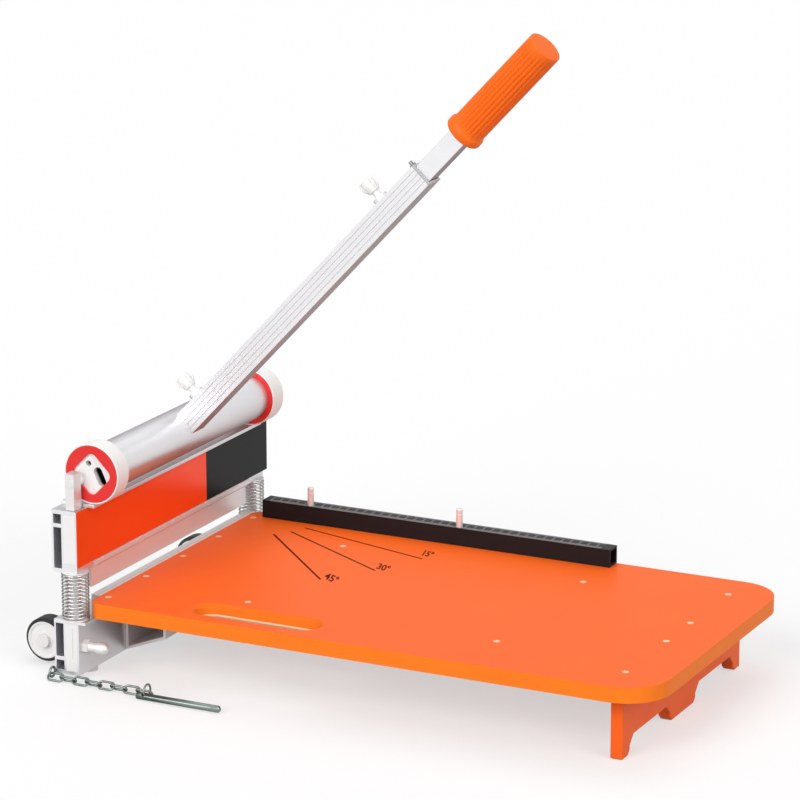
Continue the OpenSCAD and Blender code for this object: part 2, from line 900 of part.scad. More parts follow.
// Window in the hub's lip: a square on its corner, with round corners
module lip_window() {
    side = 34;
    round_r = 7;
    core = side - 2 * round_r;
    translate([cam_x, 0, cam_z]) rotate([0, 45, 0]) {
        for (x = [-1, 1], z = [-1, 1])
            translate([x * core / 2, 0, z * core / 2]) bar_y(2 * round_r, plate_out - 1, cam_out + 1);
        for (turn = [0, 90])
            rotate([0, turn, 0]) translate([-side / 2, plate_out - 1, -core / 2]) cube([side, lip_t + 2, core]);
    }
}

// Hub that carries the collar; its outer lip has a window and room for the spacer
module cam_hubs() {
    color("crimson") both_ends() difference() {
        translate([cam_x, 0, cam_z]) bar_y(2 * hub_r, cam_in, cam_out);
        translate([cam_x, 0, cam_z]) bar_y(2 * hub_bore, cam_in - 1, plate_out);
        lip_window();
        translate([0, 0, pivot_h]) bar_y(spacer_d + 2, plate_out - 1, cam_out + 1);
    }
}

// Round end of the cross tube, bored off centre for the pivot
module pivot_plates() {
    oval_w = 9.5;
    oval_reach = 5.5;
    oval_turn = 65;
    oval_at = [8.5, -2.5];
    eye_d = 6;
    eye_at = [-4.7, 10];
    low = plate_out - plate_t - 1;
    color("whitesmoke") both_ends() difference() {
        translate([cam_x, 0, cam_z]) bar_y(cross_d, plate_out - plate_t, plate_out);
        translate([0, 0, pivot_h]) bar_y(pivot_d + 2 * run_gap, low, post_y);
        translate([cam_x + eye_at.x, 0, cam_z + eye_at.y]) bar_y(eye_d, low, post_y);
        translate([cam_x + oval_at.x, 0, cam_z + oval_at.y]) rotate([0, oval_turn, 0]) {
            for (side = [-1, 1])
                translate([side * oval_reach, 0, 0]) bar_y(oval_w, low, post_y);
            translate([-oval_reach, low, -oval_w / 2]) cube([2 * oval_reach, post_y - low, oval_w]);
        }
    }
}

// Square tube along the lever between two places
module square_tube(x0, x1, side, bore) {
    translate([x0, 0, 0]) rotate([0, 90, 0]) linear_extrude(x1 - x0) difference() {
        square(side, center = true);
        square(bore, center = true);
    }
}

module saddle() {
    translate([lever_sag * sin(lever_rise), 0, lever_sag * cos(lever_rise)])
        bar_y(cross_d, -2 * lever_w, 2 * lever_w);
}

module lever_stub() {
    color("silver") on_lever() difference() {
        square_tube(lever_start, stub_end, ext_w, ext_w - 2 * ext_wall);
        saddle();
    }
}

// Lever tube with shallow grooves along its two sides
module lever_tube() {
    groove_w = 1.2;
    groove_t = 0.8;
    groove_n = 4;
    pitch = lever_w / (groove_n + 1);
    knob_places = [knob_low, knob_high];
    color("gainsboro") on_lever() difference() {
        union() {
            translate([lever_start, 0, 0]) rotate([0, 90, 0]) linear_extrude(lever_end - lever_start) difference() {
                square(lever_w, center = true);
                square(lever_bore, center = true);
                for (i = [1 : groove_n], side = [-1, 1])
                    translate([-lever_w / 2 + i * pitch, side * lever_w / 2])
                        square([groove_w, 2 * groove_t], center = true);
            }
            for (x = knob_places)
                translate([x, 0, lever_w / 2]) cylinder(d = 2 * knob_screw_d, h = boss_h);
        }
        for (x = knob_places)
            translate([x, 0, 0]) cylinder(d = knob_screw_d + 2 * run_gap, h = lever_w + boss_h);
        saddle();
    }
}

// Flat cap on the lever tube's end, which the extension slides through
module lever_end_cap() {
    color("whitesmoke") on_lever() square_tube(lever_end, lever_end + cap_t, lever_w, lever_bore);
}

// Small screw with a nut at the end of the lever tube
module lever_end_screw() {
    back = 4;
    nut_t = 3;
    shank = 4;
    color("silver") on_lever() translate([lever_end - back, 0, lever_w / 2]) {
        cylinder(d = 2 * back, h = nut_t, $fn = 6);
        translate([0, 0, nut_t]) cylinder(d = shank, h = shank);
    }
}

module extension_tube() {
    color("silver") on_lever() square_tube(ext_start, ext_end, ext_w, ext_w - 2 * ext_wall);
}

// Fluted grip with a flared lower end and a rounded tip
module grip() {
    flutes = 24;
    flute_d = 2;
    flare = 2;
    flare_len = 12;
    tip_r = 3;
    radius = grip_d / 2;
    color("orangered") on_lever() difference() {
        translate([grip_start, 0, 0]) rotate([0, 90, 0]) {
            cylinder(r = radius + flare, h = flare_len / 2);
            translate([0, 0, flare_len / 2]) cylinder(r1 = radius + flare, r2 = radius, h = flare_len / 2);
            translate([0, 0, flare_len]) cylinder(r = radius, h = grip_len - flare_len - tip_r);
            translate([0, 0, grip_len - tip_r]) {
                cylinder(r = radius - tip_r, h = tip_r);
                rotate_extrude() translate([radius - tip_r, 0]) intersection() {
                    circle(r = tip_r);
                    square(tip_r);
                }
            }
        }
        translate([grip_start - 1, -ext_w / 2, -ext_w / 2]) cube([ext_end - grip_start + 1, ext_w, ext_w]);
        for (i = [0 : flutes - 1])
            rotate([i * 360 / flutes, 0, 0]) translate([0, 0, radius + 0.4])
                bar_x(flute_d, grip_start + flare_len + 4, grip_start + grip_len - 2 * tip_r);
    }
}

// Clamp knob: a screw with a lobed head
module knob(place, reach) {
    lobes = 6;
    head_low = lever_w / 2 + boss_h + knob_lift;
    head_h = 14;
    color("whitesmoke") on_lever() translate([place, 0, 0]) {
        translate([0, 0, reach]) cylinder(d = knob_screw_d, h = head_low - reach + 1);
        translate([0, 0, head_low]) difference() {
            union() {
                cylinder(d1 = knob_screw_d + 4, d2 = knob_d, h = head_h / 2);
                translate([0, 0, head_h / 2]) cylinder(d = knob_d, h = head_h / 2 - 2);
                translate([0, 0, head_h - 2]) cylinder(d1 = knob_d, d2 = knob_d - 4, h = 2);
            }
            for (i = [0 : lobes - 1])
                rotate(i * 360 / lobes) translate([knob_d / 2 + 2, 0, 2]) cylinder(d = 8, h = head_h);
        }
    }
}

module lower_knob() {
    knob(knob_low, ext_w / 2 + seat);
}

module upper_knob() {
    knob(knob_high, ext_w / 2 + seat);
}

base_beam();
base_feet();
base_end_blocks();
guide_posts();
anvil_bar();
anvil_screws();
table_bracket();
post_clamp_bolts();
table();
table_screws();
end_leg();
table_rails();
wheel_brackets();
wheel_axles();
pivot_bolts();
pivot_spacers();
spring_seats_lower();
near_spring();
far_spring();
chain_eye();
chain();
lock_pin();
near_wheel_tyre();
near_wheel_hub();
far_wheel_tyre();
far_wheel_hub();
fence();
fence_pins();
carrier_beam();
carrier_end_blocks();
spring_seats_upper();
cam_rail();
front_panel();
front_panel_end();
blade();
blade_clamp();
blade_screws();
cross_tube();
cam_collars();
cam_hubs();
pivot_plates();
lever_stub();
lever_tube();
lever_end_cap();
lever_end_screw();
extension_tube();
grip();
lower_knob();
upper_knob();
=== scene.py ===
# %% [markdown]
# # A laminate cutter for floor boards
# A guillotine for click flooring: a board slides along an orange table under a blade, and a long
# lever turns an eccentric cam that presses the blade down between two sprung guide posts. The CAD
# part is the fixed frame. This lesson dresses it: every finish, every softened edge, the wound
# springs, the printed marks and the light.

import json
import math

import bmesh
import bpy
from mathutils import Matrix, Vector

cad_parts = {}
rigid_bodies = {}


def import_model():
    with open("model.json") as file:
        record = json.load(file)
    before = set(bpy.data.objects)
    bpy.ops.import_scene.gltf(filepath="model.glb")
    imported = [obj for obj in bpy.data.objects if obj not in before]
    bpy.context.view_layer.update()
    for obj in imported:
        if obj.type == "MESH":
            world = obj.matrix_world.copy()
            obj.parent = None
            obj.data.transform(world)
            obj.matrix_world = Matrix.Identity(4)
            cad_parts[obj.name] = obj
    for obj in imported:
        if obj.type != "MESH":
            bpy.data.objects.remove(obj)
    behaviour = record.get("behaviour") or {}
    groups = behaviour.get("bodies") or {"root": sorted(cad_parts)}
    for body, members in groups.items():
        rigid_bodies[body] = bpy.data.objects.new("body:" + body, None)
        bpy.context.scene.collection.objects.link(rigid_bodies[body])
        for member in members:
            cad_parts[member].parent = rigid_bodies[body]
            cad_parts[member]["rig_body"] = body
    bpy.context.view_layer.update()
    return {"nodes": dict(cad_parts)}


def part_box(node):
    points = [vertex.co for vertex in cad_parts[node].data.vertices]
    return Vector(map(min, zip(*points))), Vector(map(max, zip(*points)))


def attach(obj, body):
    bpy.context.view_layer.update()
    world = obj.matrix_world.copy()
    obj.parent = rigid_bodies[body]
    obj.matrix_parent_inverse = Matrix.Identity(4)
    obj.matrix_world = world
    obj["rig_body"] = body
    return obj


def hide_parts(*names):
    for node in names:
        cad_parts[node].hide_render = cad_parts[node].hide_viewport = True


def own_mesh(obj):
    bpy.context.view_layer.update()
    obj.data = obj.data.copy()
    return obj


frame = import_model()
nodes = frame["nodes"]
MM = 0.001

# %% [markdown]
# ## Sizes that the dressing shares with the CAD part
# The printed marks lie on the table and on the fence, and their heights are measured on the CAD
# nodes, so a thicker board carries its marks along. The slope of the lever gives the grain of its
# tubes and the axis of its grip.

# %% Shared places
table_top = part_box("table")[1].z
fence_low, fence_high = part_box("fence")
lever_rise = math.radians(46.7)
print("table top", round(table_top, 4), "fence top", round(fence_high.z, 4))

# %% [markdown]
# ## Shader groups
# Some effects come back in many finishes. **Drawn grain** is the long fine streak that an extrusion
# die or a rolling mill leaves on metal. **Mottle** is the slow change of tone in paint, board and
# moulded plastic. **Pebble** is the small rise and fall of powder paint or rubber, given as a
# normal. **Inside box** marks the part of a surface that lies in a given box, for a place where the
# paint stops. Each one is a node group with named inputs, so that a finish only states its own
# numbers.


# %% Group helper
def new_group(name, inputs, outputs):
    tree = bpy.data.node_groups.new(name, "ShaderNodeTree")
    for label, kind, value in inputs:
        socket = tree.interface.new_socket(label, in_out="INPUT", socket_type=kind)
        socket.default_value = value
    for label, kind in outputs:
        tree.interface.new_socket(label, in_out="OUTPUT", socket_type=kind)
    return tree, tree.nodes.new("NodeGroupInput"), tree.nodes.new("NodeGroupOutput")


def add_node(tree, kind, **values):
    node = tree.nodes.new(kind)
    for key, value in values.items():
        setattr(node, key, value)
    return node


def set_in(node, **values):
    for key, value in values.items():
        node.inputs[key.replace("_", " ")].default_value = value
    return node


print("helpers for node trees:", new_group.__name__, add_node.__name__, set_in.__name__)


# %% Drawn grain
def build_drawn_grain():
    tree, start, end = new_group(
        "drawn_grain",
        [
            ("Turn", "NodeSocketFloat", 0.0),
            ("Stretch", "NodeSocketVector", (1.0, 1.0, 1.0)),
            ("Scale", "NodeSocketFloat", 400.0),
            ("Low", "NodeSocketFloat", 0.25),
            ("High", "NodeSocketFloat", 0.4),
            ("Depth", "NodeSocketFloat", 0.05),
        ],
        [("Roughness", "NodeSocketFloat"), ("Normal", "NodeSocketVector")],
    )
    coord = add_node(tree, "ShaderNodeTexCoord")
    turn = add_node(tree, "ShaderNodeVectorRotate", rotation_type="Y_AXIS")
    scale = add_node(tree, "ShaderNodeVectorMath", operation="MULTIPLY")
    noise = set_in(add_node(tree, "ShaderNodeTexNoise"), Detail=4.0)
    spread = set_in(add_node(tree, "ShaderNodeMapRange"), From_Min=0.3, From_Max=0.7)
    bump = set_in(add_node(tree, "ShaderNodeBump"), Distance=0.0002)
    link = tree.links.new
    link(coord.outputs["Object"], turn.inputs["Vector"])
    link(start.outputs["Turn"], turn.inputs["Angle"])
    link(turn.outputs["Vector"], scale.inputs[0])
    link(start.outputs["Stretch"], scale.inputs[1])
    link(scale.outputs["Vector"], noise.inputs["Vector"])
    link(start.outputs["Scale"], noise.inputs["Scale"])
    link(noise.outputs["Fac"], spread.inputs["Value"])
    link(start.outputs["Low"], spread.inputs["To Min"])
    link(start.outputs["High"], spread.inputs["To Max"])
    link(noise.outputs["Fac"], bump.inputs["Height"])
    link(start.outputs["Depth"], bump.inputs["Strength"])
    link(spread.outputs["Result"], end.inputs["Roughness"])
    link(bump.outputs["Normal"], end.inputs["Normal"])
    return tree


drawn_grain = build_drawn_grain()
print("group:", drawn_grain.name)


# %% Mottle
def build_mottle():
    tree, start, end = new_group(
        "mottle",
        [
            ("Tint", "NodeSocketColor", (0.8, 0.8, 0.8, 1.0)),
            ("Shade", "NodeSocketColor", (0.7, 0.7, 0.7, 1.0)),
            ("Scale", "NodeSocketFloat", 20.0),
        ],
        [("Color", "NodeSocketColor"), ("Mask", "NodeSocketFloat")],
    )
    coord = add_node(tree, "ShaderNodeTexCoord")
    noise = set_in(add_node(tree, "ShaderNodeTexNoise"), Detail=5.0, Roughness=0.6)
    mix = add_node(tree, "ShaderNodeMix", data_type="RGBA")
    link = tree.links.new
    link(coord.outputs["Object"], noise.inputs["Vector"])
    link(start.outputs["Scale"], noise.inputs["Scale"])
    link(noise.outputs["Fac"], mix.inputs["Factor"])
    link(start.outputs["Tint"], mix.inputs["A"])
    link(start.outputs["Shade"], mix.inputs["B"])
    link(mix.outputs["Result"], end.inputs["Color"])
    link(noise.outputs["Fac"], end.inputs["Mask"])
    return tree


mottle = build_mottle()
print("group:", mottle.name)


# %% Pebble
def build_pebble():
    tree, start, end = new_group(
        "pebble",
        [("Scale", "NodeSocketFloat", 900.0), ("Depth", "NodeSocketFloat", 0.1)],
        [("Normal", "NodeSocketVector")],
    )
    coord = add_node(tree, "ShaderNodeTexCoord")
    noise = set_in(add_node(tree, "ShaderNodeTexNoise"), Detail=2.0)
    bump = set_in(add_node(tree, "ShaderNodeBump"), Distance=0.0003)
    link = tree.links.new
    link(coord.outputs["Object"], noise.inputs["Vector"])
    link(start.outputs["Scale"], noise.inputs["Scale"])
    link(noise.outputs["Fac"], bump.inputs["Height"])
    link(start.outputs["Depth"], bump.inputs["Strength"])
    link(bump.outputs["Normal"], end.inputs["Normal"])
    return tree


pebble = build_pebble()
print("group:", pebble.name)


# %% Inside box
def build_inside_box():
    tree, start, end = new_group(
        "inside_box",
        [
            ("Centre", "NodeSocketVector", (0.0, 0.0, 0.0)),
            ("Half", "NodeSocketVector", (1.0, 1.0, 1.0)),
        ],
        [("Mask", "NodeSocketFloat")],
    )
    coord = add_node(tree, "ShaderNodeTexCoord")
    away = add_node(tree, "ShaderNodeVectorMath", operation="SUBTRACT")
    share = add_node(tree, "ShaderNodeVectorMath", operation="DIVIDE")
    size = add_node(tree, "ShaderNodeVectorMath", operation="ABSOLUTE")
    parts = add_node(tree, "ShaderNodeSeparateXYZ")
    plan = add_node(tree, "ShaderNodeMath", operation="MAXIMUM")
    most = add_node(tree, "ShaderNodeMath", operation="MAXIMUM")
    within = add_node(tree, "ShaderNodeMath", operation="LESS_THAN")
    within.inputs[1].default_value = 1.0
    link = tree.links.new
    link(coord.outputs["Object"], away.inputs[0])
    link(start.outputs["Centre"], away.inputs[1])
    link(away.outputs["Vector"], share.inputs[0])
    link(start.outputs["Half"], share.inputs[1])
    link(share.outputs["Vector"], size.inputs[0])
    link(size.outputs["Vector"], parts.inputs["Vector"])
    link(parts.outputs["X"], plan.inputs[0])
    link(parts.outputs["Y"], plan.inputs[1])
    link(plan.outputs["Value"], most.inputs[0])
    link(parts.outputs["Z"], most.inputs[1])
    link(most.outputs["Value"], within.inputs[0])
    link(within.outputs["Value"], end.inputs["Mask"])
    return tree


inside_box = build_inside_box()
print("group:", inside_box.name)

# %% [markdown]
# ## Finishes
# A finish is one Principled shader fed by the groups. Colours are written as the eye reads them on
# a screen and turned to linear light. Metals use the drawn grain along their long axis; painted,
# moulded and rubber pieces use the mottle for tone and the pebble for feel; print has tone alone.
# Each metal's grazing colour darkens its reflections seen at a flat angle. This is painted shade:
# it stands in for the dark surroundings and shadows that the undersides of the tubes, wire and pins
# show.

# %% Finish helpers
ALONG_X = (0.02, 1.0, 1.0)
ALONG_Y = (1.0, 0.02, 1.0)
ALONG_Z = (1.0, 1.0, 0.02)
EVEN = (1.0, 1.0, 1.0)
GRAIN_SCALE = 2400.0
GRAIN_DEPTH = 0.001
METAL_TONE_SCALE = 9.0


def linear(r, g, b):
    def one(c):
        c = c / 255.0
        return c / 12.92 if c <= 0.04045 else ((c + 0.055) / 1.055) ** 2.4

    return (one(r), one(g), one(b), 1.0)


def new_material(name):
    material = bpy.data.materials.new(name)
    material.use_nodes = True
    tree = material.node_tree
    return material, tree, tree.nodes["Principled BSDF"]


def group_node(tree, group, **values):
    return set_in(add_node(tree, "ShaderNodeGroup", node_tree=group), **values)


def toned(tree, tint, shade, scale):
    return group_node(tree, mottle, Tint=linear(*tint), Shade=linear(*shade), Scale=scale)


def metal_finish(name, tint, shade, rough, metallic, grazing_shade, stretch=ALONG_Y, turn=0.0):
    material, tree, shader = new_material(name)
    tone = toned(tree, tint, shade, METAL_TONE_SCALE)
    grain = group_node(tree, drawn_grain, Turn=turn, Stretch=stretch, Scale=GRAIN_SCALE)
    set_in(grain, Low=rough[0], High=rough[1], Depth=GRAIN_DEPTH)
    # Specular tint is set to the grazing colour: painted shade on reflections seen at a flat angle.
    set_in(shader, Metallic=metallic, Specular_Tint=linear(*grazing_shade))
    tree.links.new(tone.outputs["Color"], shader.inputs["Base Color"])
    tree.links.new(grain.outputs["Roughness"], shader.inputs["Roughness"])
    tree.links.new(grain.outputs["Normal"], shader.inputs["Normal"])
    return material


def coat_finish(name, tint, shade, tone_scale, rough, pebble_scale, depth, gloss=0.4):
    material, tree, shader = new_material(name)
    tone = toned(tree, tint, shade, tone_scale)
    feel = group_node(tree, pebble, Scale=pebble_scale, Depth=depth)
    spread = set_in(add_node(tree, "ShaderNodeMapRange"), To_Min=rough[0], To_Max=rough[1])
    set_in(shader, Specular_IOR_Level=gloss)
    tree.links.new(tone.outputs["Color"], shader.inputs["Base Color"])
    tree.links.new(tone.outputs["Mask"], spread.inputs["Value"])
    tree.links.new(spread.outputs["Result"], shader.inputs["Roughness"])
    tree.links.new(feel.outputs["Normal"], shader.inputs["Normal"])
    return material


def print_finish(name, tint, shade, tone_scale, rough, gloss):
    material, tree, shader = new_material(name)
    tone = toned(tree, tint, shade, tone_scale)
    set_in(shader, Roughness=rough, Specular_IOR_Level=gloss)
    tree.links.new(tone.outputs["Color"], shader.inputs["Base Color"])
    return material


print("finish makers:", metal_finish.__name__, coat_finish.__name__, print_finish.__name__)

# %% Metal finishes
tube = dict(
    tint=(238, 238, 240),
    shade=(224, 224, 227),
    rough=(0.3, 0.42),
    metallic=0.85,
    grazing_shade=(96, 84, 82),
)
steel = dict(
    tint=(242, 239, 238),
    shade=(226, 223, 222),
    rough=(0.28, 0.36),
    metallic=0.45,
    grazing_shade=(150, 144, 142),
)
on_lever = dict(stretch=ALONG_X, turn=lever_rise)
finishes = {
    "aluminium": metal_finish("extruded_aluminium", **tube),
    "bright_steel": metal_finish("ground_steel", **steel),
    "spring_steel": metal_finish(
        "spring_wire", (214, 212, 211), (182, 180, 179), (0.2, 0.36), 0.9, (110, 108, 107), EVEN
    ),
    "zinc_wire": metal_finish(
        "zinc_wire", (150, 160, 155), (104, 113, 109), (0.2, 0.38), 0.9, (40, 44, 42), EVEN
    ),
    "pale_screw": metal_finish(
        "zinc_screw", (255, 214, 180), (246, 190, 150), (0.35, 0.5), 0.2, (200, 190, 180), EVEN
    ),
}
lever_finish = metal_finish("lever_aluminium", **tube, **on_lever)
own_finish = {
    "lever_tube": lever_finish,
    "lever_stub": lever_finish,
    "lever_end_screw": finishes["zinc_wire"],
    # The extension's near-black grazing colour paints the shadow of the grip onto its underside.
    "extension_tube": metal_finish(
        "extension_aluminium", **dict(tube, metallic=0.95, grazing_shade=(30, 22, 22)), **on_lever
    ),
    "guide_posts": metal_finish("post_steel", **steel, stretch=ALONG_Z),
    "table_bracket": metal_finish(
        "bracket_aluminium", (240, 240, 241), (230, 230, 231), (0.34, 0.46), 0.35, (150, 146, 145)
    ),
}
print("metal finishes:", sorted(finishes), "with their own finish:", sorted(own_finish))

# %% Paint, plastic and rubber finishes
moulded = dict(tone_scale=30.0, pebble_scale=1800.0, depth=0.05)
sheet = dict(tone_scale=10.0, pebble_scale=900.0, depth=0.004)
finishes["white_paint"] = coat_finish(
    "powder_paint", (244, 243, 242), (238, 237, 236), 30.0, (0.34, 0.46), 1400.0, 0.12
)
finishes["orange_panel"] = coat_finish(
    "gloss_panel", (255, 80, 22), (250, 74, 24), rough=(0.2, 0.3), gloss=0.25, **sheet
)
finishes["black_panel"] = coat_finish(
    "black_gloss_panel", (30, 33, 32), (25, 27, 27), rough=(0.25, 0.38), gloss=0.08, **sheet
)
finishes["black_paint"] = coat_finish(
    "black_paint", (33, 29, 30), (27, 24, 25), 25.0, (0.4, 0.55), 1300.0, 0.12, gloss=0.12
)
finishes["white_plastic"] = coat_finish(
    "white_moulding", (246, 245, 244), (240, 239, 238), rough=(0.32, 0.42), **moulded
)
finishes["red_plastic"] = coat_finish(
    "red_moulding", (234, 54, 50), (224, 45, 42), rough=(0.3, 0.4), gloss=0.3, **moulded
)
finishes["tyre"] = coat_finish(
    "tyre_rubber", (34, 32, 32), (26, 24, 24), 60.0, (0.6, 0.8), 1500.0, 0.25
)
finishes["grip_rubber"] = coat_finish(
    "grip_rubber", (255, 116, 20), (248, 104, 14), 40.0, (0.42, 0.56), 1600.0, 0.1, gloss=0.25
)
own_finish["lever_end_cap"] = coat_finish(
    "grey_moulding", (196, 197, 199), (184, 185, 187), rough=(0.4, 0.5), **moulded
)
own_finish["end_leg"] = coat_finish(
    "painted_leg", (255, 106, 30), (247, 97, 27), 20.0, (0.42, 0.52), 700.0, 0.04, gloss=0.2
)
print("finishes so far:", len(finishes), "with their own finish:", len(own_finish))

# %% [markdown]
# ## The painted board
# The table is sawn from a coated board. Its broad faces carry a smooth film with a touch of pink in
# the orange; the sawn edges are sealed with a warmer, yellower paint. Two materials on picked faces
# would do, but the edge paint runs over the rounded corners, so the tone follows the way the
# surface faces: the upright part of the normal, read in the board's own space, blends edge paint
# into film. The hand slot is routed from above. A pale band painted low on its wall is painted
# light: it stands in for the bright floor seen through the slot, and shows as a thin line low in
# the slot.

# %% Board finish
slot_wall_centre = (0.189, -0.141, 0.0682)
slot_wall_half = (0.074, 0.022, 0.0028)
board, board_tree, board_shader = new_material("painted_board")
film = toned(board_tree, (255, 110, 36), (250, 102, 31), 14.0)
sealed = toned(board_tree, (255, 132, 36), (252, 122, 32), 30.0)
# Painted light: the pale tone low on the slot wall stands in for the bright floor seen through the
# slot.
painted_see_through = toned(board_tree, (255, 222, 182), (250, 208, 164), 60.0)
see_through_mask = group_node(board_tree, inside_box, Centre=slot_wall_centre, Half=slot_wall_half)
board_feel = group_node(board_tree, pebble, Scale=700.0, Depth=0.04)
facing = add_node(board_tree, "ShaderNodeTexCoord")
facing_parts = add_node(board_tree, "ShaderNodeSeparateXYZ")
upright = add_node(board_tree, "ShaderNodeMath", operation="ABSOLUTE")
board_mix = add_node(board_tree, "ShaderNodeMix", data_type="RGBA")
see_through_mix = add_node(board_tree, "ShaderNodeMix", data_type="RGBA")
board_link = board_tree.links.new
board_link(facing.outputs["Normal"], facing_parts.inputs["Vector"])
board_link(facing_parts.outputs["Z"], upright.inputs[0])
board_link(upright.outputs["Value"], board_mix.inputs["Factor"])
board_link(sealed.outputs["Color"], board_mix.inputs["A"])
board_link(film.outputs["Color"], board_mix.inputs["B"])
board_link(see_through_mask.outputs["Mask"], see_through_mix.inputs["Factor"])
board_link(board_mix.outputs["Result"], see_through_mix.inputs["A"])
board_link(painted_see_through.outputs["Color"], see_through_mix.inputs["B"])
board_link(see_through_mix.outputs["Result"], board_shader.inputs["Base Color"])
board_link(board_feel.outputs["Normal"], board_shader.inputs["Normal"])
set_in(board_shader, Roughness=0.45, Specular_IOR_Level=0.1)
finishes["orange_board"] = board
print("all finishes:", len(finishes))

# %% [markdown]
# ## Softened edges
# A sawn board, an extrusion and a pressed plate never have a knife edge. The bright line along a
# real edge comes from a small round on it. One way is to draw each round in the CAD part, which
# makes it heavy. Here each CAD node is copied, its doubled points are joined, and a narrow bevel is
# cut along its hard edges. The copy stands for the node and rides on the same body. Round wire has
# no edge to soften, so the chain and its pin are only smoothed.

# %% Soft edge table
edge_widths = {
    "table": 2.2,
    "end_leg": 1.6,
    "base_beam": 0.4,
    "carrier_beam": 0.4,
    "table_bracket": 0.6,
    "fence": 0.7,
    "lever_tube": 0.9,
    "extension_tube": 1.6,
    "cam_collars": 0.6,
    "base_end_blocks": 0.2,
    "carrier_end_blocks": 0.2,
    "cam_hubs": 0.7,
    "pivot_plates": 0.5,
    "guide_posts": 0.6,
    "cam_rail": 0.6,
    "front_panel": 0.25,
    "front_panel_end": 0.25,
    "lower_knob": 1.0,
    "upper_knob": 1.0,
}
other_edges = 0.4
edge_steps = 3
weld_distance = 1e-6
flat_limit = math.radians(0.5)
hard_edge = math.radians(35)
wire_edge = math.radians(50)
own_forms = {"near_spring", "far_spring", "grip"}
round_wire = {"chain", "chain_eye", "lock_pin"}
print("edge widths set:", len(edge_widths), "others:", other_edges, "mm")


# %% Softening
def link_object(name, data):
    item = bpy.data.objects.new(name, data)
    bpy.context.scene.collection.objects.link(item)
    return item


def evaluated_mesh(item):
    graph = bpy.context.evaluated_depsgraph_get()
    return bpy.data.meshes.new_from_object(item.evaluated_get(graph))


def bake(item):
    mesh = evaluated_mesh(item)
    item.modifiers.clear()
    item.data = mesh
    return item


def clean_copy(node, flatten):
    mesh = nodes[node].data.copy()
    work = bmesh.new()
    work.from_mesh(mesh)
    bmesh.ops.remove_doubles(work, verts=work.verts, dist=weld_distance)
    if flatten:
        bmesh.ops.dissolve_limit(
            work, angle_limit=flat_limit, verts=work.verts, edges=work.edges
        )
    work.to_mesh(mesh)
    work.free()
    mesh.shade_smooth()
    return mesh


def soften(piece, width):
    bevel = piece.modifiers.new("soft_edges", "BEVEL")
    bevel.width = width
    bevel.segments = edge_steps
    bevel.limit_method = "ANGLE"
    bevel.angle_limit = hard_edge
    piece.modifiers.new("even_normals", "WEIGHTED_NORMAL").keep_sharp = True
    return bake(piece)


def dress(node):
    slot_name = nodes[node].data.materials[0].name
    wire = node in round_wire
    piece = link_object(node + "_look", clean_copy(node, not wire))
    if wire:
        piece.data.set_sharp_from_angle(angle=wire_edge)
    else:
        soften(piece, edge_widths.get(node, other_edges) * MM)
    piece.data.materials.clear()
    piece.data.materials.append(own_finish.get(node, finishes[slot_name]))
    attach(piece, nodes[node]["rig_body"])
    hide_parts(node)
    return piece


looks = [dress(node) for node in sorted(nodes) if node not in own_forms]
print("softened copies:", len(looks), "faces:", sum(len(p.data.polygons) for p in looks))

# %% [markdown]
# ## The two return springs
# Each guide post carries a wound wire spring that lifts the blade again. A real one is coiled from
# one wire on a mandrel: the end turns lie flat against the seats and the middle turns stand open.
# The wire's centre line is a helix whose rise is slow at the ends and even between; a round section
# is swept along it.

# %% Swept rings
spring_wire = 1.8 * MM
spring_turns = 13
end_turns = 0.9
end_share = 0.04
steps_per_turn = 40
wire_sides = 10


def swept_mesh(name, rings, sharp, material):
    work = bmesh.new()
    loops = [[work.verts.new(point) for point in ring] for ring in rings]
    for a, b in zip(loops, loops[1:]):
        for k in range(len(a)):
            n = (k + 1) % len(a)
            work.faces.new((a[k], b[k], b[n], a[n]))
    work.faces.new(loops[0])
    work.faces.new(list(reversed(loops[-1])))
    bmesh.ops.recalc_face_normals(work, faces=work.faces)
    mesh = bpy.data.meshes.new(name)
    work.to_mesh(mesh)
    work.free()
    mesh.shade_smooth()
    mesh.set_sharp_from_angle(angle=sharp)
    mesh.materials.append(material)
    return mesh


print("sweep helper:", swept_mesh.__name__)


# %% Spring winding
def rise_share(turn):
    if turn < end_turns:
        return end_share * turn / end_turns
    if turn > spring_turns - end_turns:
        return 1.0 - end_share * (spring_turns - turn) / end_turns
    middle = (turn - end_turns) / (spring_turns - 2 * end_turns)
    return end_share + (1.0 - 2 * end_share) * middle


def spring_rings(low, high):
    centre = (low + high) / 2
    radius = (high.x - low.x - spring_wire) / 2
    rise = high.z - low.z - spring_wire
    steps = spring_turns * steps_per_turn
    rings = []
    for i in range(steps + 1):
        angle = 2 * math.pi * spring_turns * i / steps
        out = Vector((math.cos(angle), math.sin(angle), 0.0))
        height = low.z + spring_wire / 2 + rise * rise_share(i / steps * spring_turns)
        middle = Vector((centre.x, centre.y, height)) + out * radius
        ring = []
        for k in range(wire_sides):
            turn = 2 * math.pi * k / wire_sides
            offset = out * math.cos(turn) + Vector((0, 0, 1)) * math.sin(turn)
            ring.append(middle + offset * spring_wire / 2)
        rings.append(ring)
    return rings


def wind_spring(node):
    name = node + "_look"
    low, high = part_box(node)
    steel_wire = finishes["spring_steel"]
    mesh = swept_mesh(name, spring_rings(low, high), math.radians(60), steel_wire)
    piece = link_object(name, mesh)
    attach(piece, "frame")
    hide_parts(node)
    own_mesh(piece)
    return piece


coils = [wind_spring("near_spring"), wind_spring("far_spring")]
print("springs wound:", [c.name for c in coils], len(coils[0].data.polygons), "faces each")

# %% [markdown]
# ## The rubber grip
# The moulded sleeve on the end of the lever has flutes along it so that a wet hand holds it, a
# rolled lip at its lower end and a flat end face. A lathe profile gives the sleeve; the flutes are
# narrow grooves in its radius that fade out towards the lip and the end. Its axis, its length and
# the radius of its lip are measured on the CAD node.

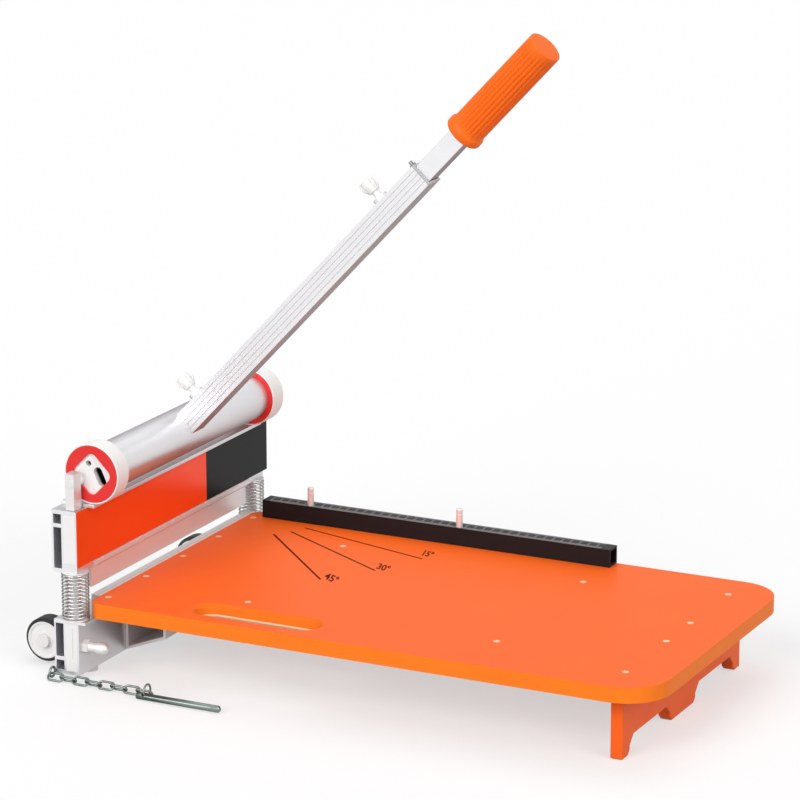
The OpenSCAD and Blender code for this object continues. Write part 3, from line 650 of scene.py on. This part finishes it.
# %% Grip axis
lever_axis = Vector((math.cos(lever_rise), 0.0, math.sin(lever_rise)))
side_axis = Vector((0.0, 1.0, 0.0))
up_axis = lever_axis.cross(side_axis)
grip_points = [v.co for v in nodes["grip"].data.vertices]
grip_middle = sum(grip_points, Vector()) / len(grip_points)
reach = [(p - grip_middle).dot(lever_axis) for p in grip_points]
across = [(p - grip_middle).dot(up_axis) for p in grip_points]
grip_start = grip_middle + lever_axis * min(reach)
grip_start += up_axis * (max(across) + min(across)) / 2
grip_length = max(reach) - min(reach)
lip_radius = (max(across) - min(across)) / 2
print("grip length", round(grip_length, 4), "lip radius", round(lip_radius, 4))

# %% Grip profile
sleeve_radius = lip_radius - 2 * MM
bore_radius = 10.5 * MM
centre_hole = 0.4 * MM
lip_round = 2.2 * MM
tip_round = 1.6 * MM
drawn_length = 128.0
sleeve_stations = [12, 14, 16, 30, 50, 70, 90, 105, 112, 116, 119, 122]


def quarter(count):
    return [math.pi / 2 * k / count for k in range(1, count + 1)]


profile = [(0.0, bore_radius), (0.0, lip_radius - lip_round)]
for a in quarter(5):
    profile.append((lip_round * (1 - math.cos(a)), lip_radius - lip_round * (1 - math.sin(a))))
profile += [
    (7 * MM, lip_radius),
    (8.5 * MM, lip_radius - 0.5 * MM),
    (10 * MM, sleeve_radius + 0.2 * MM),
]
profile += [(x * grip_length / drawn_length, sleeve_radius) for x in sleeve_stations]
for a in quarter(6):
    x = grip_length - tip_round * (1 - math.sin(a))
    profile.append((x, sleeve_radius - tip_round * (1 - math.cos(a))))
profile += [(grip_length, sleeve_radius / 2), (grip_length, centre_hole)]
print("profile points:", len(profile))

# %% Fluted grip
flutes = 24
columns = 384
groove_depth = 1.2 * MM
groove_power = 0.7
flutes_from = 12 * MM
flutes_short_by = 7 * MM
fade_length = 4 * MM


def limit(value):
    return max(0.0, min(1.0, value))


def grip_ring(x, radius):
    fade_in = limit((x - flutes_from) / fade_length)
    fade_out = limit((grip_length - flutes_short_by - x) / fade_length)
    ring = []
    for c in range(columns):
        turn = 2 * math.pi * c / columns
        hollow = 1 - abs(math.sin(flutes * turn / 2)) ** groove_power
        r = radius - groove_depth * fade_in * fade_out * hollow
        place = grip_start + lever_axis * x + side_axis * r * math.cos(turn)
        ring.append(place + up_axis * r * math.sin(turn))
    return ring


grip_rings = [grip_ring(x, radius) for x, radius in profile]
grip_mesh = swept_mesh("grip_look", grip_rings, math.radians(50), finishes["grip_rubber"])
grip = link_object("grip_look", grip_mesh)
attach(grip, nodes["grip"]["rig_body"])
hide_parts("grip")
print("grip faces:", len(grip.data.polygons))

# %% [markdown]
# ## Printed marks on the table
# Three lines at 15, 30 and 45 degrees show where the fence goes for an angled cut, each with its
# number. On the real board they are printed. Here they are thin strips that stand a few hundredths
# of a millimetre above the board. The numbers run along their lines and lean, so a letter's width
# and height are given as two directions on the board, each with its own stretch.

# %% Ink
ink = print_finish("printed_ink", (104, 20, 6), (80, 14, 5), 60.0, rough=0.7, gloss=0.05)
print("ink:", ink.name)


# %% Angle lines
def strip(work, a, b, width, z0, z1):
    along = (b - a).normalized()
    side = Vector((-along.y, along.x, 0.0)) * width / 2
    base = [a - side, b - side, b + side, a + side]
    low = [work.verts.new((p.x, p.y, z0)) for p in base]
    top = [work.verts.new((p.x, p.y, z1)) for p in base]
    work.faces.new(top)
    work.faces.new(list(reversed(low)))
    for k in range(4):
        n = (k + 1) % 4
        work.faces.new((low[k], low[n], top[n], top[k]))


angle_lines = {
    "15": ((93.0, 132.9), (252.9, 90.1)),
    "30": ((85.8, 114.4), (227.0, 32.9)),
    "45": ((74.2, 97.8), (190.6, -18.6)),
}
line_width = 2.3 * MM
ink_low = table_top - 0.05 * MM
ink_top = table_top + 0.06 * MM
work = bmesh.new()
for first, last in angle_lines.values():
    ends = Vector((*first, 0)) * MM, Vector((*last, 0)) * MM
    strip(work, *ends, line_width, ink_low, ink_top)
line_mesh = bpy.data.meshes.new("angle_lines")
work.to_mesh(line_mesh)
work.free()
line_mesh.materials.append(ink)
lines = link_object("angle_lines", line_mesh)
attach(lines, "frame")
print("angle lines:", len(angle_lines))

# %% Angle numbers
number_size = 21 * MM
number_bold = 0.5 * MM
number_half_height = 0.05 * MM
number_places = {
    "15": dict(x=245.5, y=101.7, run=-11, wide=0.5, lean=104, tall=1.15),
    "30": dict(x=224.0, y=40.5, run=-19, wide=0.62, lean=105, tall=1.2),
    "45": dict(x=191.3, y=-13.1, run=-29, wide=0.8, lean=106, tall=1.35),
}


def number_mesh(label):
    text = bpy.data.curves.new("number_" + label, "FONT")
    text.body = label + "°"
    text.size = number_size
    text.extrude = number_half_height
    text.offset = number_bold
    item = link_object("number_" + label, text)
    mesh = evaluated_mesh(item)
    bpy.data.objects.remove(item)
    return mesh


def direction(degrees, length):
    turn = math.radians(degrees)
    return Vector((math.cos(turn), math.sin(turn))) * length


def leaning_place(x, y, run, wide, lean, tall):
    along = direction(run, wide)
    upward = direction(lean, tall)
    return Matrix(
        (
            (along.x, upward.x, 0.0, x * MM),
            (along.y, upward.y, 0.0, y * MM),
            (0.0, 0.0, 1.0, table_top),
            (0.0, 0.0, 0.0, 1.0),
        )
    )


for label, place in number_places.items():
    mesh = number_mesh(label)
    mesh.transform(leaning_place(**place))
    mesh.materials.clear()
    mesh.materials.append(ink)
    mark = link_object("angle_number_" + label, mesh)
    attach(mark, "frame")
    print("number", label, "faces", len(mesh.polygons))

# %% [markdown]
# ## The rule on the fence
# The top of the black fence carries a rule in pale print: short ticks every two millimetres, longer
# ones at each centimetre. Many equal marks in a row are a job for Geometry Nodes: a line of points,
# one bar on each point, and a length that depends on the point's number.


# %% Tick generator
def build_ticks():
    tree = bpy.data.node_groups.new("rule_ticks", "GeometryNodeTree")
    face = tree.interface
    sockets = {}
    for label, kind in (
        ("Start", "NodeSocketVector"),
        ("Count", "NodeSocketInt"),
        ("Spacing", "NodeSocketFloat"),
        ("Width", "NodeSocketFloat"),
        ("Short", "NodeSocketFloat"),
        ("Long", "NodeSocketFloat"),
        ("Height", "NodeSocketFloat"),
        ("Material", "NodeSocketMaterial"),
    ):
        sockets[label] = face.new_socket(label, in_out="INPUT", socket_type=kind).identifier
    face.new_socket("Geometry", in_out="OUTPUT", socket_type="NodeSocketGeometry")
    start = add_node(tree, "NodeGroupInput")
    end = add_node(tree, "NodeGroupOutput")
    step = add_node(tree, "ShaderNodeCombineXYZ")
    row = add_node(tree, "GeometryNodeMeshLine", mode="OFFSET")
    bar = add_node(tree, "GeometryNodeMeshCube")
    shift = set_in(add_node(tree, "GeometryNodeTransform"), Translation=(0.0, 0.5, 0.0))
    number = add_node(tree, "GeometryNodeInputIndex")
    cycle = add_node(tree, "ShaderNodeMath", operation="MODULO")
    fifth = add_node(tree, "FunctionNodeCompare", data_type="FLOAT", operation="LESS_THAN")
    length = add_node(tree, "GeometryNodeSwitch", input_type="FLOAT")
    size = add_node(tree, "ShaderNodeCombineXYZ")
    copies = add_node(tree, "GeometryNodeInstanceOnPoints")
    real = add_node(tree, "GeometryNodeRealizeInstances")
    paint = add_node(tree, "GeometryNodeSetMaterial")
    cycle.inputs[1].default_value = 5.0
    fifth.inputs["B"].default_value = 0.5
    link = tree.links.new
    link(start.outputs["Spacing"], step.inputs["X"])
    link(start.outputs["Count"], row.inputs["Count"])
    link(start.outputs["Start"], row.inputs["Start Location"])
    link(step.outputs["Vector"], row.inputs["Offset"])
    link(bar.outputs["Mesh"], shift.inputs["Geometry"])
    link(number.outputs["Index"], cycle.inputs[0])
    link(cycle.outputs["Value"], fifth.inputs["A"])
    link(fifth.outputs["Result"], length.inputs["Switch"])
    link(start.outputs["Short"], length.inputs["False"])
    link(start.outputs["Long"], length.inputs["True"])
    link(start.outputs["Width"], size.inputs["X"])
    link(length.outputs["Output"], size.inputs["Y"])
    link(start.outputs["Height"], size.inputs["Z"])
    link(row.outputs["Mesh"], copies.inputs["Points"])
    link(shift.outputs["Geometry"], copies.inputs["Instance"])
    link(size.outputs["Vector"], copies.inputs["Scale"])
    link(copies.outputs["Instances"], real.inputs["Geometry"])
    link(real.outputs["Geometry"], paint.inputs["Geometry"])
    link(start.outputs["Material"], paint.inputs["Material"])
    link(paint.outputs["Geometry"], end.inputs["Geometry"])
    return tree, sockets


tick_tree, tick_sockets = build_ticks()
print("generator:", tick_tree.name)

# %% Fence rule
rule_ink = print_finish(
    "rule_print", (214, 211, 210), (120, 116, 116), 300.0, rough=0.6, gloss=0.1
)
tick_pitch = 2 * MM
tick_width = 0.7 * MM
tick_height = 0.1 * MM
rule_margin = 8 * MM
edge_margin = 1.0 * MM
rule_length = fence_high.x - fence_low.x - 2 * rule_margin


def rule_row(name, y, short, long):
    item = link_object(name, bpy.data.meshes.new(name))
    ticks = item.modifiers.new("ticks", "NODES")
    ticks.node_group = tick_tree
    values = {
        "Start": (fence_low.x + rule_margin, y, fence_high.z),
        "Count": int(rule_length / tick_pitch),
        "Spacing": tick_pitch,
        "Width": tick_width,
        "Short": short,
        "Long": long,
        "Height": tick_height,
        "Material": rule_ink,
    }
    for label, value in values.items():
        ticks[tick_sockets[label]] = value
    bake(item)
    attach(item, "fence")
    return item


near_rule = rule_row("fence_rule_near", fence_low.y + edge_margin, 5 * MM, 12 * MM)
far_rule = rule_row("fence_rule_far", fence_high.y - edge_margin, -2.5 * MM, -5 * MM)
print("rule marks:", len(near_rule.data.polygons) // 6, len(far_rule.data.polygons) // 6)

# %% [markdown]
# ## Floor, light and camera
# The product picture was taken on white paper. Three broad lamps far away act like large softboxes:
# one above and a little behind lays the soft shadow towards the lens, a stronger one at the front,
# a little to the left, lights the faces that the lens sees, and one at the right lights the panel.
# A distant sun lamp gives an even floor, where a near area lamp would leave it grey at the far
# side. The paper is lifted towards white only for the lens and for reflections, by a little more
# than half, so it keeps the shadow. Light that it throws back on the object is that of a grey
# sheet, which keeps the undersides dark.

# %% Floor
floor_half = 30
floor_drop = 0.0004
paper_lift = 0.55
paper_bounce = (180, 180, 180)
floor_sides = [(-1, -1), (1, -1), (1, 1), (-1, 1)]
floor_corners = [(x * floor_half, y * floor_half, 0) for x, y in floor_sides]
floor_mesh = bpy.data.meshes.new("floor")
floor_mesh.from_pydata(floor_corners, [], [(0, 1, 2, 3)])
floor = link_object("floor", floor_mesh)
floor.location.z = -floor_drop
floor_paint = coat_finish(
    "floor_paper", (254, 254, 254), (252, 252, 252), 1.0, (0.85, 0.95), 40.0, 0.0, gloss=0.0
)
floor_mesh.materials.append(floor_paint)


def seen_rays(tree):
    path = add_node(tree, "ShaderNodeLightPath")
    first = add_node(tree, "ShaderNodeMath", operation="MAXIMUM")
    both = add_node(tree, "ShaderNodeMath", operation="MAXIMUM")
    tree.links.new(path.outputs["Is Camera Ray"], first.inputs[0])
    tree.links.new(path.outputs["Is Glossy Ray"], first.inputs[1])
    tree.links.new(first.outputs["Value"], both.inputs[0])
    tree.links.new(path.outputs["Is Transmission Ray"], both.inputs[1])
    return both.outputs["Value"]


def lift_paper(material):
    tree = material.node_tree
    shader = tree.nodes["Principled BSDF"]
    paper = shader.inputs["Base Color"].links[0].from_socket
    seen = seen_rays(tree)
    glow = add_node(tree, "ShaderNodeEmission")
    lift = add_node(tree, "ShaderNodeMath", operation="MULTIPLY")
    mix = add_node(tree, "ShaderNodeMixShader")
    shown = add_node(tree, "ShaderNodeMix", data_type="RGBA")
    lift.inputs[1].default_value = paper_lift
    shown.inputs["A"].default_value = linear(*paper_bounce)
    link = tree.links.new
    link(seen, shown.inputs["Factor"])
    link(paper, shown.inputs["B"])
    link(shown.outputs["Result"], shader.inputs["Base Color"])
    link(seen, lift.inputs[0])
    link(lift.outputs["Value"], mix.inputs["Fac"])
    link(shader.outputs["BSDF"], mix.inputs[1])
    link(glow.outputs["Emission"], mix.inputs[2])
    link(mix.outputs["Shader"], tree.nodes["Material Output"].inputs["Surface"])


lift_paper(floor_paint)
print("floor laid:", floor.name)

# %% Light
sky_on_object = 0.36
sky_seen = 1.0
lamp_distance = 4
world = bpy.data.worlds.new("studio")
bpy.context.scene.world = world
world.use_nodes = True
sky_tree = world.node_tree
sky = set_in(sky_tree.nodes["Background"], Color=(1.0, 1.0, 1.0, 1.0))
sky_level = set_in(add_node(sky_tree, "ShaderNodeMapRange"), To_Min=sky_on_object, To_Max=sky_seen)
sky_tree.links.new(seen_rays(sky_tree), sky_level.inputs["Value"])
sky_tree.links.new(sky_level.outputs["Result"], sky.inputs["Strength"])


def far_lamp(name, towards, level, spread):
    lamp = bpy.data.lights.new(name, "SUN")
    lamp.energy = level
    lamp.angle = math.radians(spread)
    item = link_object(name, lamp)
    item.location = Vector(towards) * lamp_distance
    item.rotation_euler = (-Vector(towards)).to_track_quat("-Z", "Y").to_euler()
    return item


lamps = [
    far_lamp("top_back_light", (-0.12, 0.38, 0.92), level=0.65, spread=50),
    far_lamp("front_left_light", (-0.16, -0.86, 0.49), level=1.75, spread=40),
    far_lamp("right_light", (0.8, -0.32, 0.5), level=1.15, spread=40),
]
print("lamps:", [lamp.name for lamp in lamps])

# %% Camera
camera_place = (1.9109, -3.3145, 1.2815)
camera_dip = 0.26522519
camera_turn = 0.4592146
camera_data = bpy.data.cameras.new("camera")
camera_data.sensor_width = 36.0
camera_data.lens = 171.96
camera_data.clip_end = 100.0
camera = link_object("camera", camera_data)
camera.location = camera_place
camera.rotation_euler = (math.pi / 2 - camera_dip, 0.0, camera_turn)
bpy.context.scene.camera = camera
bpy.context.scene.view_settings.view_transform = "Standard"
print("camera set:", camera_place)

# %% [markdown]
# ## Finish
# The dressed model may stand only a little outside the CAD part.

# %% Finish
bpy.context.view_layer.update()
